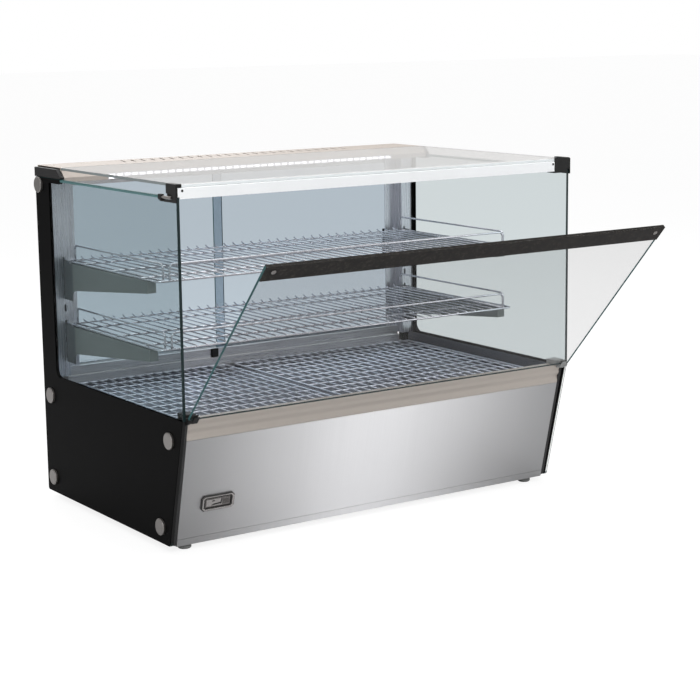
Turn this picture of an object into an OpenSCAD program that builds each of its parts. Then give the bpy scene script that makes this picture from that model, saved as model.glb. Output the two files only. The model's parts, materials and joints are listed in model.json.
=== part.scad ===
// Counter-top bakery display case: a stainless base with a heated deck, side glass held by round
// caps, a front glass that tips open at its foot, sliding rear doors and two wire shelves.
// Origin: on the counter, under the middle of the case with its front door open.
// +Z is up and the front faces -Y.

/* [Case] */
// Width over the outer faces of the side glass
case_w = 900; // [860:5:940]
// Depth of the side glass
glass_d = 583; // [575:1:590]
// Thickness of the side glass
glass_t = 6; // [5:0.5:6]
// How far the base leans back at its foot
toe_in = 59; // [50:1:65]
// Width of the black printed strip at the rear of the side glass
rear_strip_w = 62; // [60:1:70]
// Height of the adjusting feet
foot_h = 14; // [12:1:30]
// Thickness of the stainless sheet
sheet_t = 1.2; // [1:0.1:1.5]
// Diameter of the round glass caps
cap_d = 32; // [26:1:36]

/* [Front door] */
// Angle between the open front door and upright
door_angle = 41.9; // [35:0.1:45]
// Length of the front door from its pivot to its top edge
door_len = 415.5; // [413:0.5:416]
// Thickness of the front door glass
door_t = 5; // [4:0.5:5]
// Height of the black strip on the front door
strip_h = 34; // [28:1:40]
// Diameter of the two pivot pins
pin_d = 3.9; // [3:0.1:4.2]
// Radial clearance of the pivot pins in their ears
pin_fit = 0.05; // [0.02:0.01:0.08]

/* [Shelves] */
// Height of the upper brackets above the foot of the side glass
upper_bracket_z = 476.4; // [472:0.2:482]
// Distance between the slots in the posts
slot_pitch = 32; // [30:1:34]
// Distance between the long shelf wires
wire_pitch = 22; // [20:1:30]
// Diameter of the long shelf wires
wire_d = 3; // [2.5:0.5:4]
// Diameter of the cross wires and of the guard rails
rail_d = 4; // [3.5:0.5:4.5]
// Height of the guard rails above the shelf wires
guard_h = 28; // [22:1:34]
// Distance between the long wires of the deck grids
deck_pitch = 22; // [18:1:30]
// Seam between the two deck grids, from the middle
deck_split = -39; // [-60:1:60]

/* [Rear] */
// Width of the left rear door
rear_door_w = 381.5; // [380:0.5:410]
// Thickness of the rear door glass
rear_door_t = 5; // [4:0.5:5]
// Diameter of the thermostat knob
knob_d = 38; // [30:1:44]

/* [Hidden] */
$fn = 48;

gap = 0.3;                              // clearance between neighbouring pieces
half_w = case_w / 2;                    // outer face of the side glass
glass_top = 646.5;                      // top of the side glass
base_h = 246;                           // top of the black base on the side glass
in_w = half_w - glass_t;                // inner face of the side glass
print_w = in_w - 0.4;                   // inner face of the black print
liner_w = half_w - 10.2;                // outer face of the steel side liners
panel_w = half_w - 14;                  // half width of the front panel and lip
frame_w = half_w - 36;                  // inner face of the posts
rear_y = glass_d + 9;                   // rear face of the frame
post_y = rear_y - 65;                   // slotted front face of the posts
top_z = 668.5;                          // top of the rear housing and top glass
lip_z = base_h + 1;                     // top of the front lip
ledge_z = 220;                          // ledge that carries the deck grids
rim_z = 243;                            // top of the well tray
well_y0 = 29.5;                         // front of the well tray
well_y1 = post_y + 12.5;                // rear of the well tray
sill_z = 258;                           // top of the rear sill
rear_face = rear_y - 17;                // outer face of the rear base panel
pivot = [-5.5, base_h + 1];             // front door pivot, y and z
shoe_t = door_t / 2 + 1.9;              // half thickness of the pivot shoes
door_x = half_w - 6.6;                  // half width of the front door
door_reach = -pivot[0] + door_len * sin(door_angle) + (door_t / 2 + 2) * cos(door_angle);
front_y = (door_reach - rear_y) / 2;    // front edge of the side glass
groove_in = rear_y - 38;                // front of the inner rear door groove
groove_out = rear_y - 26.5;             // front of the outer rear door groove
groove_w = 8.5;                         // width of the rear door grooves
slot_z0 = 287;                          // middle of the lowest post slot
slot_x = half_w - 29;                   // middle of the post slots
lower_bracket_z = upper_bracket_z - 4 * slot_pitch;
shelf_front = 138.5;                    // front wire of the shelves
shelf_rear = post_y - 9;                // rear wire of the shelves
shelf_half = half_w - 34.5;             // outer side wires of the shelves
guard_half = half_w - 49.3;             // guard rails beside the shelves
cap_t = 6;                              // thickness of a glass cap
cap_hole = 10;                          // hole in the side glass for the stud of a cap
// Glass caps, y and z: the first one at the top rear
cap_pos = [[glass_d - 17, 631], [glass_d - 33, 203], [glass_d - 32, 32], [50, 202], [92, 32]];
clip_x = half_w + 2.5;                  // outer face of the corner clips
rail_end = half_w - 39;                 // right end of the front top rail
thermometer_x = -half_w + 91.5;

// Moves the local frame (front edge and foot of the side glass) to the frame of the part
module place() translate([0, front_y, foot_h]) children();
// Extrudes a y-z outline along X from x0 to x1
module along_x(x0, x1) translate([x0, 0, 0]) rotate([90, 0, 90]) linear_extrude(x1 - x0) children();
module bar(lo, hi) translate(lo) cube(hi - lo);
module both() {
    children();
    mirror([1, 0, 0]) children();
}
module rod_x(d, y, z, x0, x1) translate([x0, y, z]) rotate([0, 90, 0]) cylinder(d = d, h = x1 - x0);
module rod_y(d, x, z, y0, y1) translate([x, y0, z]) rotate([-90, 0, 0]) cylinder(d = d, h = y1 - y0);
module rod_z(d, x, y, z0, z1) translate([x, y, z0]) cylinder(d = d, h = z1 - z0);

// Front edge of the side glass at height z, and the face of the front panel
function edge_y(z) = z < base_h ? toe_in * (1 - z / base_h) : 0;
function face_y(z) = 4 + toe_in * (1 - z / base_h);
function arc(c, r, a0, a1, n = 6) =
    [for (i = [0:n]) c + r * [cos(a0 + (a1 - a0) * i / n), sin(a0 + (a1 - a0) * i / n)]];

// ---- base ----
module base_pan() color("silver") place() {
    pan_w = panel_w - gap;
    difference() {
        union() {
            bar([-pan_w, face_y(-3) + 1, -3], [pan_w, rear_face - 1.5, -3 + sheet_t]);
            along_x(-pan_w, pan_w)
                polygon([[face_y(-3), -3], [face_y(10.3), 10.3], [face_y(10.3) + sheet_t, 10.3],
                         [face_y(-3) + sheet_t, -3]]);
            bar([-pan_w, rear_face - 2.7, -3], [pan_w, rear_face - 1.5, 12]);
        }
        for (x = [-half_w + 42, half_w - 42], y = [85, rear_y - 57]) rod_z(8.4, x, y, -5, 2);
        for (i = [-8:8]) bar([i * 40 - 12, 300, -5], [i * 40 + 12, 306, 2]);
    }
}

module front_panel() color("lightgray") place() difference() {
    along_x(-panel_w, panel_w)
        polygon([[face_y(10.7), 10.7], [face_y(205.8), 205.8], [face_y(205.8) + 14, 205.8],
                 [face_y(205.8) + 14, 205.8 - sheet_t], [face_y(205.8) + sheet_t, 205.8 - sheet_t],
                 [face_y(10.7) + sheet_t, 10.7 + sheet_t], [face_y(10.7) + 14, 10.7 + sheet_t],
                 [face_y(10.7) + 14, 10.7]]);
    bezel_place() bar([-31, -8, -13], [31, 8, 13]);
}

// Aluminium profile along the top of the base, with a fine groove half way up
module front_lip() color("tan") place() along_x(-panel_w, panel_w)
    polygon([[face_y(206.2) - 0.6, 206.2], [face_y(224) - 0.6, 224], [face_y(224) + 1, 224.2],
             [face_y(226) + 1, 225.6], [face_y(226) - 0.4, 226], [face_y(245.5) - 0.4, 245.5],
             [face_y(247) + 0.9, lip_z], [29, lip_z], [29, 242], [27.5, 242], [27.5, lip_z - 2],
             [face_y(245) + 1.8, lip_z - 2], [face_y(206.2) + 1.8, 206.2]]);

module side_liners() color("gainsboro") place() both() difference() {
    along_x(liner_w - sheet_t, liner_w)
        polygon([[face_y(-1.5) + 3, -1.5], [face_y(218) + 3, 218.4], [rear_face - 1.6, 218.4],
                 [rear_face - 1.6, -1.5]]);
    for (i = [1:4]) rod_x(8.4, cap_pos[i][0], cap_pos[i][1], liner_w - 5, liner_w + 5);
}

// Black rubber strips between the front panel and the side glass
module edge_seals() color("black") place() both() along_x(panel_w + gap, print_w - gap)
    polygon([[face_y(0.5), 0.5], [face_y(237), 237], [face_y(237) + 2.5, 237], [face_y(0.5) + 2.5, 0.5]]);

module rear_panel() color("silver") place() difference() {
    w = liner_w - sheet_t - gap;
    along_x(-w, w)
        polygon([[rear_face - 1.2, -1.5], [rear_face - 1.2, 217], [well_y1 + 12, 217],
                 [well_y1 + 12, 217 + sheet_t], [rear_face, 217 + sheet_t], [rear_face, -1.5]]);
    for (i = [0:11], j = [0:1])
        bar([-330 + i * 24, rear_face - 5, 40 + j * 72], [-322 + i * 24, rear_face + 5, 98 + j * 72]);
    rod_y(10.5, 150, 120, rear_face - 5, rear_face + 5);
    for (x = [220, 270]) bar([x - 11, rear_face - 5, 108], [x + 11, rear_face + 5, 136]);
    bar([330, rear_face - 5, 40], [360, rear_face + 5, 62]);
    for (x = [324, 366]) rod_y(3.6, x, 51, rear_face - 5, rear_face + 5);
}

// Aluminium sill behind the deck: two steps in front, two grooves for the rear doors on top
module rear_sill() color("silver") place() along_x(-frame_w + 0.4, frame_w - 0.4)
    polygon([[rear_y - 51, 222], [rear_y - 51, 239], [rear_y - 46, 239], [rear_y - 46, sill_z],
             [groove_in, sill_z], [groove_in, sill_z - 10], [groove_in + groove_w, sill_z - 10],
             [groove_in + groove_w, sill_z], [groove_out, sill_z], [groove_out, sill_z - 10],
             [groove_out + groove_w, sill_z - 10], [groove_out + groove_w, sill_z], [rear_y, sill_z],
             [rear_y, 222], [rear_y - 1.5, 222], [rear_y - 1.5, sill_z - 1.5],
             [groove_out + groove_w + 1.5, sill_z - 1.5], [groove_out + groove_w + 1.5, sill_z - 11.5],
             [rear_y - 44.5, sill_z - 11.5], [rear_y - 44.5, 237.5], [rear_y - 49.5, 237.5],
             [rear_y - 49.5, 222]]);
module sill_guide() color("black") place()
    bar([-half_w + 372, rear_y - 50.7, 239.3], [-half_w + 388, rear_y - 46.2, sill_z]);

// Well under the deck: a sunk tray, a ledge all round for the grids and an upright rim
module well_tray() color("lightgray") place() difference() {
    w = liner_w;
    union() {
        bar([-w + 18, well_y0 + 18, 197 - sheet_t], [w - 18, well_y1 - 18, ledge_z]);
        bar([-w, well_y0, ledge_z - sheet_t], [w, well_y1, ledge_z]);
        bar([-w, well_y0, ledge_z - sheet_t], [w, well_y0 + sheet_t, rim_z - 1.3]);
        for (x = [-w, w - sheet_t]) bar([x, well_y0, ledge_z - sheet_t], [x + sheet_t, well_y1, rim_z]);
    }
    bar([-w + 18 + sheet_t, well_y0 + 18 + sheet_t, 197],
        [w - 18 - sheet_t, well_y1 - 18 - sheet_t, ledge_z + 1]);
}

// Plate over the heating rods, with rows of air slots near the rear
module deck_plate() color("lightgray") place() difference() {
    w = liner_w - 20;
    bar([-w, well_y0 + 20, 215.2], [w, well_y1 - 20, 216.4]);
    for (j = [0:2], i = [-18:17])
        translate([5 + i * 22 + (j % 2) * 11, well_y1 - 100 + j * 24, 210]) cube([14, 7, 10]);
}

// Hairpin heating rods in the well
module heater_loop(x0, x1) {
    r = 25;
    for (y = [150, 200, 370, 420]) rod_x(8, y, 207, x0 + 85, x1 - r);
    for (y = [175, 395]) translate([x1 - r, y, 207]) rotate([0, 0, -90])
        rotate_extrude(angle = 180) translate([r, 0]) circle(d = 8);
    translate([x0 + 85, 285, 207]) rotate([0, 0, 90])
        rotate_extrude(angle = 180) translate([85, 0]) circle(d = 8);
}
module heater_elements() color("dimgray") place() for (x0 = [-380, 35]) {
    heater_loop(x0, x0 + 345);
    for (y = [150, 420]) difference() {
        bar([x0 + 180, y - 7, 197.1], [x0 + 190, y + 7, 215]);
        rod_x(8, y, 207, x0 + 170, x0 + 200);
    }
}

module terminal_box() color("gray") place() bar([60, 470, -1.6], [150, 540, 50]);
module thermostat_body() color("dimgray") place() {
    bar([130, rear_face - 34, 100], [170, rear_face - 1.4, 140]);
    rod_y(9.8, 150, 120, rear_face - 2, rear_face + 2);
}
module switch_bodies() color("black") place() for (x = [220, 270]) difference() {
    union() {
        bar([x - 10.5, rear_face - 24, 108.5], [x + 10.5, rear_face + 0.2, 135.5]);
        bar([x - 13, rear_face + 0.1, 105.5], [x + 13, rear_face + 2.4, 138.5]);
    }
    bar([x - 8, rear_face - 9, 110.5], [x + 8, rear_face + 5, 133.5]);
    rod_x(3.1, rear_face - 2, 122, x - 9.6, x + 9.6);
}
module mains_inlet() color("black") place() difference() {
    union() {
        bar([331, rear_face - 20, 41], [359, rear_face + 0.2, 61]);
        bar([319, rear_face + 0.1, 38], [371, rear_face + 3, 64]);
    }
    bar([333, rear_face - 14, 43], [357, rear_face + 6, 59]);
    for (x = [324, 366]) rod_y(3.4, x, 51, rear_face - 5, rear_face + 6);
}

module bezel_place() translate([thermometer_x, face_y(76), 76])
    rotate([atan(toe_in / base_h), 0, 0]) children();
module bezel_outline(w, h, r) polygon([
    [w / 2 - r, h / 2], [w / 2, h / 2 - r], [w / 2, -h / 2 + r], [w / 2 - r, -h / 2],
    [-w / 2 + r, -h / 2], [-w / 2, -h / 2 + r], [-w / 2, h / 2 - r], [-w / 2 + r, h / 2]]);
module bezel_ring(w, h, r, y0, y1) translate([0, y1, 0]) rotate([90, 0, 0])
    linear_extrude(y1 - y0) bezel_outline(w, h, r);
module thermometer_bezel() color("gray") place() bezel_place() difference() {
    union() {
        bezel_ring(70, 31, 5, -5, -0.1);
        bezel_ring(60, 24, 2, -0.2, 22);
    }
    bezel_ring(54, 19, 2, -6, -1.4);
    bezel_ring(50, 15, 1, -2, 20);
}
module thermometer_lens() color("slategray") place() bezel_place() bezel_ring(53.4, 18.4, 2, -3.6, -1.5);

module feet() color("black") place() for (x = [-half_w + 42, half_w - 42], y = [85, rear_y - 57])
    translate([x, y, 0]) {
    translate([0, 0, -foot_h]) rotate_extrude()
        polygon([[0, 0], [11, 0], [13, 2], [13, 6], [10, foot_h - 3.3], [0, foot_h - 3.3]]);
    translate([0, 0, -4]) cylinder(d = 8, h = 16);
}

// ---- glass ----
// Outline of a side glass: leaning front below the base line and small round corners
module side_outline(inset = 0) {
    r = 5;
    polygon(concat(
        arc([edge_y(0) + r + 1 + inset, r + inset], r, 166, 270),
        arc([glass_d - r - inset, r + inset], r, 270, 360),
        arc([glass_d - 2 - inset, glass_top - 2 - inset], 2, 0, 90, 3),
        arc([2 + inset, glass_top - 2 - inset], 2, 90, 180, 3),
        [[inset, base_h]]));
}
// Clear window inside the black print, with a round corner and a step under the rear housing
module window_outline() {
    r = 18;
    polygon(concat([[-5, base_h], [-5, glass_top + 5], [glass_d - 112, glass_top + 5],
        [glass_d - 112, 637.5], [glass_d - rear_strip_w, 637.5]],
        arc([glass_d - rear_strip_w - r, base_h + r], r, 0, -90)));
}
module side_glass() place() color("lightcyan", 0.4) difference() {
    along_x(in_w, half_w) side_outline();
    for (c = cap_pos) rod_x(cap_hole, c[0], c[1], in_w - 1, half_w + 1);
}
module glass_print() place() color("black") difference() {
    along_x(print_w, in_w - 0.02) difference() {
        side_outline(0.3);
        window_outline();
    }
    for (c = cap_pos) rod_x(cap_hole, c[0], c[1], in_w - 1, half_w + 1);
}
module right_side_glass() side_glass();
module left_side_glass() mirror([1, 0, 0]) side_glass();
module right_glass_print() glass_print();
module left_glass_print() mirror([1, 0, 0]) glass_print();

// Round caps on the outside of the glass, each on a stud
module standoffs() place() color("darkgray") for (c = cap_pos)
    translate([0, c[0], c[1]]) rotate([0, 90, 0]) {
    translate([0, 0, half_w + 0.05]) rotate_extrude()
        polygon([[0, 0], [cap_d / 2, 0], [cap_d / 2, cap_t - 1.2], [cap_d / 2 - 1.2, cap_t], [0, cap_t]]);
    translate([0, 0, half_w - 13.5]) cylinder(d = 8, h = 14);
}
module right_standoffs() standoffs();
module left_standoffs() mirror([1, 0, 0]) standoffs();

module top_glass() color("lightcyan", 0.4) place()
    bar([-half_w + 10, -1, 663.5], [half_w - 10, rear_y - 106, 668.5]);

// ---- upper frame ----
module front_top_rail() color("white") place() difference() {
    along_x(-half_w + 2, rail_end)
        polygon([[-2.2, 643.5], [-2.2, 662.3], [-1.2, 663.3], [26, 663.3], [26, 661], [0.3, 661],
                 [0.3, 645.8], [10, 645.8], [10, 643.5]]);
    bar([-half_w, -5, 640], [-half_w + 6.4, 30, 647]);
    for (x = [-half_w + 11, half_w - 43]) rod_y(3.2, x, 658, -5, 3);
}
// Black corner piece that holds a side glass, the top glass and the end of the rail
module corner_clip() place() {
    difference() {
        along_x(half_w + 0.05, clip_x)
            polygon(concat([[-2.5, 637], [-2.5, 667.5], [0, 670], [30.5, 670], [33, 667.5], [33, 650]],
                           [[57, 650], [57, 638.5], [55.5, 637]]));
        bar([half_w - 1, 12, 641.5], [half_w + 6, 44, 652]);
    }
    along_x(half_w + 2.2, half_w + 5.9)
        polygon([[44.4, 640], [55.5, 640], [57, 641.5], [57, 648.5], [55.5, 650], [44.4, 650]]);
    bar([half_w - 9.6, 0.8, 647], [half_w + 0.1, 33, 660.6]);
    bar([half_w - 9.6, -2.5, 663.7], [half_w + 0.1, 33, 670]);
    bar([half_w - 1.7, -2.5, 647], [half_w + 0.1, 33, 670]);
}
module left_corner_clip() color([0.1, 0.1, 0.1]) mirror([1, 0, 0]) corner_clip();
module right_corner_clip() color([0.1, 0.1, 0.1]) {
    corner_clip();
    place() difference() {
        along_x(rail_end + gap, half_w + 0.1)
            polygon([[-2.5, 640], [-2.5, 670], [-1.3, 670], [-1.3, 663.2],
                     [26, 663.2], [26, 643.5], [20, 640]]);
        bar([half_w - 6.4, -5, 635], [half_w + 2, 40, 647]);
    }
}
module clip_barrels() color("silver") place() both() rod_y(5.8, half_w + 3, 645.2, 12.4, 43.6);
module rail_screws() color("dimgray") place() for (x = [-half_w + 11, half_w - 43]) {
    rod_y(3, x, 658, -2.5, 0.8);
    rod_y(4.6, x, 658, -2.75, -2.22);
}

module top_housing() color("linen") place() difference() {
    t = sheet_t;
    along_x(-half_w + 9.3, half_w - 9.3) difference() {
        polygon([[rear_y, 641], [rear_y, top_z], [rear_y - 105, top_z], [rear_y - 105, 663.2],
                 [rear_y - 109, 663.2], [rear_y - 122.5, 650], [rear_y - 121, 641]]);
        polygon([[rear_y - t, 641 + t], [rear_y - t, top_z - t], [rear_y - 105 + t, top_z - t],
                 [rear_y - 105 + t, 663.2 - t], [rear_y - 108.5, 663.2 - t], [rear_y - 121.2, 649.5],
                 [rear_y - 120, 641 + t]]);
    }
    for (i = [0:24]) translate([-half_w + 180 + i * 22.5, rear_y - 37, top_z - 3])
        rotate([0, 0, -14]) translate([0, -24, 0]) cube([4.5, 48, 6]);
}
module end_cap() place() color([0.1, 0.1, 0.1]) along_x(half_w - 9, half_w)
    polygon([[rear_y - 4, 646.9], [rear_y - 4, 664.5], [rear_y - 5, 665.5], [rear_y - 103, 665.5],
             [rear_y - 122.5, 650], [rear_y - 121, 646.9]]);
module right_end_cap() end_cap();
module left_end_cap() mirror([1, 0, 0]) end_cap();
module led_strip() color("lavender") place()
    bar([-half_w + 105, rear_y - 124.6, 642], [half_w - 105, rear_y - 122.6, 649]);

// Folded post: square tube with slots in its front face and a flange beside the rear doors
module post() place() color("silver") difference() {
    x1 = half_w - 7;
    union() {
        bar([frame_w, post_y, rim_z + gap], [x1, rear_y - 2, 640.7]);
        bar([frame_w - 30, rear_y - 42, sill_z + gap], [frame_w + 1, rear_y - 40.5, 640.7]);
    }
    bar([frame_w + 1.5, post_y + 1.5, rim_z], [x1 - 1.5, rear_y - 3.5, 642]);
    for (i = [0:6]) bar([slot_x - 2, post_y - 1, slot_z0 + i * slot_pitch - 7],
                        [slot_x + 2, post_y + 3, slot_z0 + i * slot_pitch + 7]);
    rod_x(8.4, cap_pos[0][0], cap_pos[0][1], x1 - 3, x1 + 1);
}
module right_post() post();
module left_post() mirror([1, 0, 0]) post();

// Bracket folded from sheet, hooked into two post slots; z is its top
module bracket(z) place() color("gray") {
    t = 1.6;
    x1 = slot_x + t / 2;
    rear = post_y - 0.5;
    front_end = [[170, z], [170, z - 22], [199, z - 25], [rear - 50, z - 53]];
    along_x(x1 - t, x1)
        polygon(concat(front_end, arc([rear - 50, z - 67], 14, 90, 0), [[rear - 36, z - 75], [rear, z - 75],
                       [rear, z + 5], [rear - 20, z + 5], [rear - 25, z]]));
    along_x(x1 - 18, x1 - 18 + t)
        polygon(concat(front_end, [[rear - 40, z - 53], [rear - 28, z - 40], [rear - 28, z]]));
    bar([x1 - 18, 170, z - t], [x1, rear - 25, z]);
    bar([x1 - 18, 170, z - 22], [x1, 170 + t, z]);
    for (k = [4, 5]) {
        zs = slot_z0 + slot_pitch * k + z - upper_bracket_z;
        along_x(x1 - t, x1) polygon([[rear - 1, zs + 4], [post_y + 6, zs + 4], [post_y + 6, zs - 6],
                                     [post_y + 2, zs - 6], [post_y + 2, zs - 2], [rear - 1, zs - 2]]);
    }
}
module upper_right_bracket() bracket(upper_bracket_z);
module upper_left_bracket() mirror([1, 0, 0]) bracket(upper_bracket_z);
module lower_right_bracket() bracket(lower_bracket_z);
module lower_left_bracket() mirror([1, 0, 0]) bracket(lower_bracket_z);

// ---- rear doors ----
// Track with two grooves for the tops of the doors
module rear_top_track() color("silver") place() along_x(-frame_w + 0.4, frame_w - 0.4)
    polygon([[groove_in - 1.6, 640.7], [groove_in - 1.6, 626], [groove_in, 626], [groove_in, 637],
             [groove_in + groove_w, 637], [groove_in + groove_w, 626], [groove_out, 626], [groove_out, 637],
             [groove_out + groove_w, 637], [groove_out + groove_w, 626], [groove_out + groove_w + 1.6, 626],
             [groove_out + groove_w + 1.6, 640.7]]);
module rear_pane(x0, x1, y0) color("lightcyan", 0.4) place()
    bar([x0, y0, 250.6], [x1, y0 + rear_door_t, 634]);
left_door_x = -half_w + 38.5;
right_door_x = left_door_x + rear_door_w - 27;
right_door_end = frame_w - 2.5;
inner_pane_y = groove_in + 1.75;
outer_pane_y = groove_out + 1.75;
module left_rear_door() rear_pane(left_door_x, left_door_x + rear_door_w, outer_pane_y);
module right_rear_door() rear_pane(right_door_x, right_door_end, inner_pane_y);
module pull(x, y0, y1) color([0.12, 0.12, 0.12]) place() difference() {
    bar([x - 9, y0, 390], [x + 9, y1, 480]);
    bar([x - 5.5, y0 + 1.6, 396], [x + 5.5, y1 + 1, 474]);
}
module left_rear_handle() pull(left_door_x + 22, outer_pane_y + rear_door_t + 0.05, rear_y - 8);
module right_rear_handle() pull(right_door_end - 16, inner_pane_y + rear_door_t + 0.05,
                                inner_pane_y + rear_door_t + 4.9);

// ---- deck and shelves ----
module deck_grid(x0, x1) color("silver") place() {
    y0 = 31;
    y1 = well_y1 - 1.5;
    n = floor((x1 - x0 - 6) / deck_pitch);
    off = (x1 - x0 - 3 - n * deck_pitch) / 2;
    for (i = [0:n]) translate([x0 + off + i * deck_pitch, y0, ledge_z + 2.6]) cube([3, y1 - y0, 2.6]);
    for (i = [0:12]) translate([x0, y0 + 1 + i * (y1 - y0 - 5) / 12, ledge_z + 0.2]) cube([x1 - x0, 3, 3]);
    for (x = [x0, x1 - 3]) translate([x, y0, ledge_z + 0.2]) cube([3, y1 - y0, 5]);
}
module left_deck_grid() deck_grid(-half_w + 12.5, deck_split - 1);
module right_deck_grid() deck_grid(deck_split + 1, half_w - 12.5);

// Shelf wires are eight-sided here
module shelf_grid(z) color("silver") place() {
    $fn = 8;
    zc = z + gap + rail_d / 2;
    n = floor(2 * (guard_half - 8) / wire_pitch);
    for (y = [shelf_front, 205, 330, 455, shelf_rear]) rod_x(rail_d, y, zc, -shelf_half - 1, shelf_half + 1);
    for (x = [-shelf_half, -guard_half, guard_half, shelf_half])
        rod_y(rail_d - 0.4, x, zc + 0.15, shelf_front - 1, shelf_rear + 1);
    for (i = [0:n]) rod_y(wire_d, (i - n / 2) * wire_pitch, zc + rail_d / 2 + wire_d / 2 - 0.6,
                          shelf_front - 3, shelf_rear + 3);
}
// Guard wire: a leg, a long run and a leg, with round corners
module guard_wire(len, h) {
    r = 9;
    translate([0, r, h - r]) rotate([90, 0, 90]) rotate([0, 0, 90])
        rotate_extrude(angle = 90) translate([r, 0]) circle(d = rail_d);
    translate([0, len - r, h - r]) rotate([90, 0, 90])
        rotate_extrude(angle = 90) translate([r, 0]) circle(d = rail_d);
    translate([0, r, h]) rotate([-90, 0, 0]) cylinder(d = rail_d, h = len - 2 * r);
    for (y = [0, len]) translate([0, y, 0]) cylinder(d = rail_d, h = h - r);
}
module shelf_rails(z) color("silver") place() {
    zb = z + gap + rail_d + 0.1;
    h = guard_h + wire_d - rail_d / 2;
    both() translate([guard_half, shelf_front + 9, zb]) guard_wire(shelf_rear - shelf_front - 12, h);
    translate([-guard_half + 9, shelf_front, zb]) rotate([0, 0, -90]) guard_wire(2 * guard_half - 18, h);
}
module upper_shelf_grid() shelf_grid(upper_bracket_z);
module lower_shelf_grid() shelf_grid(lower_bracket_z);
module upper_shelf_rails() shelf_rails(upper_bracket_z);
module lower_shelf_rails() shelf_rails(lower_bracket_z);

// ---- front door ----
// Ear for a pivot pin, carried by a plate beside the lip and a block on top of it
module hinge_block() place() difference() {
    union() {
        along_x(half_w - 13.6, half_w - 6.9)
            polygon(concat(arc(pivot, 5, 90, 270, 12), [[face_y(238) - 3, 238], [well_y0 - gap, 238],
                           [well_y0 - gap, rim_z + gap], [30, rim_z + gap], [30, 257], [6, 257],
                           [4, 255], [4, 252]]));
        along_x(half_w - 30, half_w - 13.7) polygon([[4, 247.4], [4, 255], [6, 257], [30, 257], [30, 247.4]]);
        bar([half_w - 14, 4.5, 247.6], [half_w - 13, 29.5, 254.5]);
    }
    rod_x(pin_d + 2 * pin_fit, pivot[0], pivot[1], half_w - 20, half_w - 5);
}
module right_hinge_block() color("gray") hinge_block();
module left_hinge_block() color([0.12, 0.12, 0.12]) mirror([1, 0, 0]) hinge_block();

// Door pieces are drawn upright about the pivot and tipped forward by the door angle
module door_place() place() translate([0, pivot[0], pivot[1]]) rotate([door_angle, 0, 0]) children();
module door_glass() color("lightcyan", 0.4) door_place() difference() {
    bar([-door_x, -door_t / 2, 5.6], [door_x, door_t / 2, door_len]);
    both() rod_y(5.4, door_x - 18, door_len - 13, -9, 9);
}
module door_strip() color([0.12, 0.12, 0.12]) door_place() difference() {
    bar([-door_x, -door_t / 2 - 2, door_len - strip_h], [door_x, -door_t / 2 - 0.02, door_len]);
    both() rod_y(5.4, door_x - 18, door_len - 13, -9, 9);
}
module door_strip_screws() color("silver") door_place() both()
    translate([door_x - 18, -door_t / 2 - 2.05, door_len - 13]) rotate([90, 0, 0]) {
        rotate_extrude() polygon([[0, 0], [4.6, 0], [4.2, 0.8], [2.6, 1.3], [0, 1.4]]);
        translate([0, 0, -door_t - 1.9]) cylinder(d = 5, h = door_t + 2);
    }
module door_shoes() color([0.12, 0.12, 0.12]) door_place() both() {
    difference() {
        union() {
            rod_x(2 * shoe_t, 0, 0, half_w - 26, half_w - 14);
            bar([half_w - 26, -shoe_t, -9.8], [half_w - 14, shoe_t, 13]);
        }
        bar([half_w - 35, -door_t / 2 - 0.05, 5.5], [half_w - 13, door_t / 2 + 0.05, 30]);
        bar([half_w - 35, -shoe_t - 1, -12], [half_w - 13, 0.5, -shoe_t + 0.5]);
    }
    rod_x(pin_d, 0, 0, half_w - 15, half_w - 7.2);
}

// ---- rear controls ----
module thermostat_knob() color("black") place() translate([150, rear_face + 2.4, 120]) rotate([-90, 0, 0]) {
    cylinder(d = knob_d, h = 3);
    translate([0, 0, 3]) cylinder(d1 = knob_d - 8, d2 = knob_d - 11, h = 10);
}
module rocker(x) color("darkred") place() translate([x, rear_face - 2, 122]) {
    along_x(-7.6, 7.6)
        polygon([[-3, -8], [3, -9.8], [5, -9.8], [2.2, 0], [2.2, 9.6], [1, 9.8], [-3, 8]]);
    rod_x(3, 0, 0, -9.4, 9.4);
}
module power_rocker() rocker(220);
module light_rocker() rocker(270);

base_pan();
front_panel();
front_lip();
side_liners();
edge_seals();
rear_panel();
rear_sill();
sill_guide();
well_tray();
deck_plate();
heater_elements();
terminal_box();
thermostat_body();
switch_bodies();
mains_inlet();
thermometer_bezel();
thermometer_lens();
feet();
left_side_glass();
right_side_glass();
left_glass_print();
right_glass_print();
left_standoffs();
right_standoffs();
left_post();
right_post();
top_housing();
left_end_cap();
right_end_cap();
led_strip();
top_glass();
front_top_rail();
left_corner_clip();
right_corner_clip();
clip_barrels();
rail_screws();
left_hinge_block();
right_hinge_block();
rear_top_track();
upper_left_bracket();
upper_right_bracket();
lower_left_bracket();
lower_right_bracket();
left_deck_grid();
right_deck_grid();
upper_shelf_grid();
upper_shelf_rails();
lower_shelf_grid();
lower_shelf_rails();
door_glass();
door_strip();
door_strip_screws();
door_shoes();
left_rear_door();
left_rear_handle();
right_rear_door();
right_rear_handle();
thermostat_knob();
power_rocker();
light_rocker();
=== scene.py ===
import json
import math

import bmesh
import bpy
from mathutils import Matrix, Vector

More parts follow.
